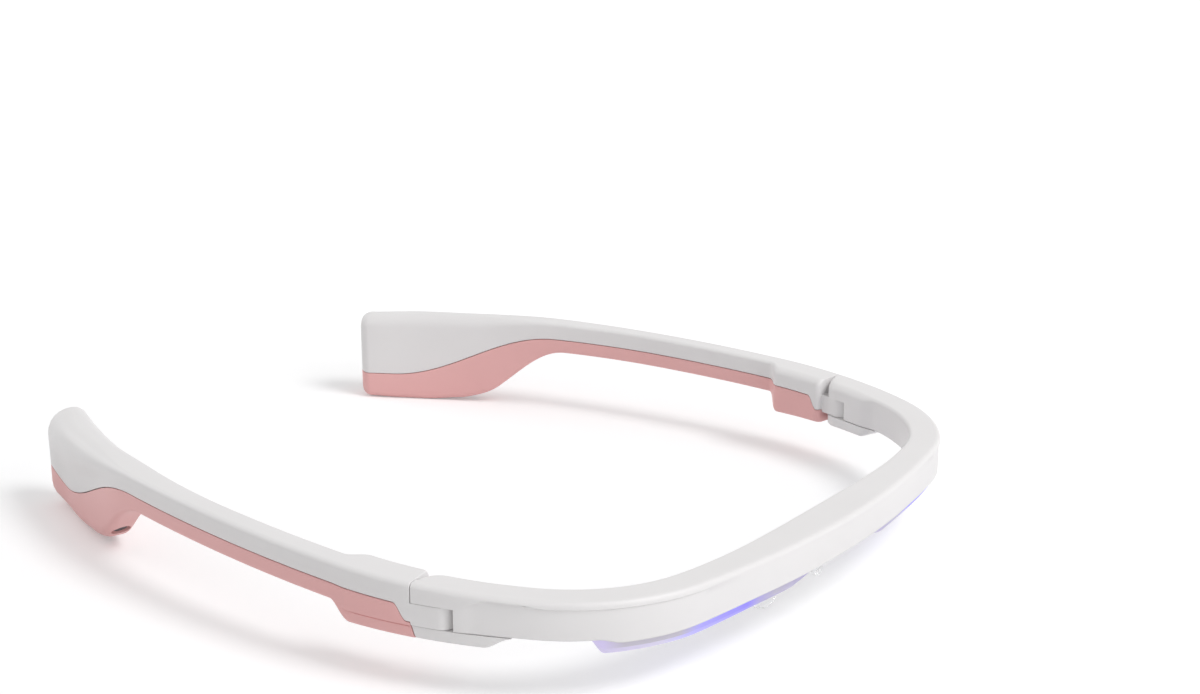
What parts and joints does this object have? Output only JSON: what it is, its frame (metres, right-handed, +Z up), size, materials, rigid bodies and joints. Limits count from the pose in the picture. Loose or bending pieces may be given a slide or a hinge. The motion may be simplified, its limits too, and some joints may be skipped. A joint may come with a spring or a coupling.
{
  "type": "light therapy glasses",
  "caption": "Wrap-around light therapy glasses with folding white and pink temples and lit crescent windows above the eyes.",
  "frame": {"origin": "on the table, under the middle of the glasses' bounding box", "axes": "+X to the wearer's left, +Y backwards along the temples, +Z up; the front of the glasses faces -Y"},
  "size_m": [0.1594, 0.1744, 0.0227],
  "materials": {
    "white_shell": "satin",
    "pink_base": "soft satin",
    "lit_window": "frosted light guide",
    "bezel": "satin",
    "board": "solder mask",
    "lamps": "phosphor",
    "flex": "polyimide film",
    "clear_plastic": "clear",
    "clear_pad": "clear silicone",
    "fasteners": "turned",
    "cell": "foil pouch",
    "switch_metal": "stamped",
    "dark_plastic": "moulded"
  },
  "bodies": {
    "front": {"front_shell": "white_shell", "front_base": "white_shell", "light_window_right": "lit_window", "light_window_left": "lit_window", "window_bezel_right": "bezel", "window_bezel_left": "bezel", "led_board_right": "board", "led_board_left": "board", "leds_right": "lamps", "leds_left": "lamps", "front_flex": "flex", "nose_bridge": "clear_plastic", "nose_pad_right": "clear_pad", "nose_pad_left": "clear_pad", "hinge_pin_right": "fasteners", "hinge_pin_left": "fasteners", "base_screws": "fasteners"},
    "right_temple": {"right_temple_cover": "white_shell", "right_temple_base": "pink_base", "right_temple_flex": "flex", "right_battery": "cell", "control_board": "board", "power_switch": "switch_metal", "right_tip_screw": "fasteners"},
    "power_button": {"power_button": "dark_plastic"},
    "left_temple": {"left_temple_cover": "white_shell", "left_temple_base": "pink_base", "left_temple_flex": "flex", "left_battery": "cell", "charge_board": "board", "charge_socket": "dark_plastic", "left_tip_screw": "fasteners"}
  },
  "joints": [
    {"name": "left_hinge", "type": "hinge", "parent": "front", "child": "left_temple", "pos_m": [0.07353, -0.04471, 0.0144], "axis": [0, 0, 1], "range_deg": [0, 86]},
    {"name": "right_hinge", "type": "hinge", "parent": "front", "child": "right_temple", "pos_m": [-0.07353, -0.04471, 0.0144], "axis": [0, 0, -1], "range_deg": [0, 72]},
    {"name": "power_press", "type": "slide", "parent": "right_temple", "child": "power_button", "axis": [0.1843, 0.5799, 0.7936], "range_m": [0, 0.0004], "stiffness_N_per_m": 2500, "springref_m": -0.0002}
  ]
}
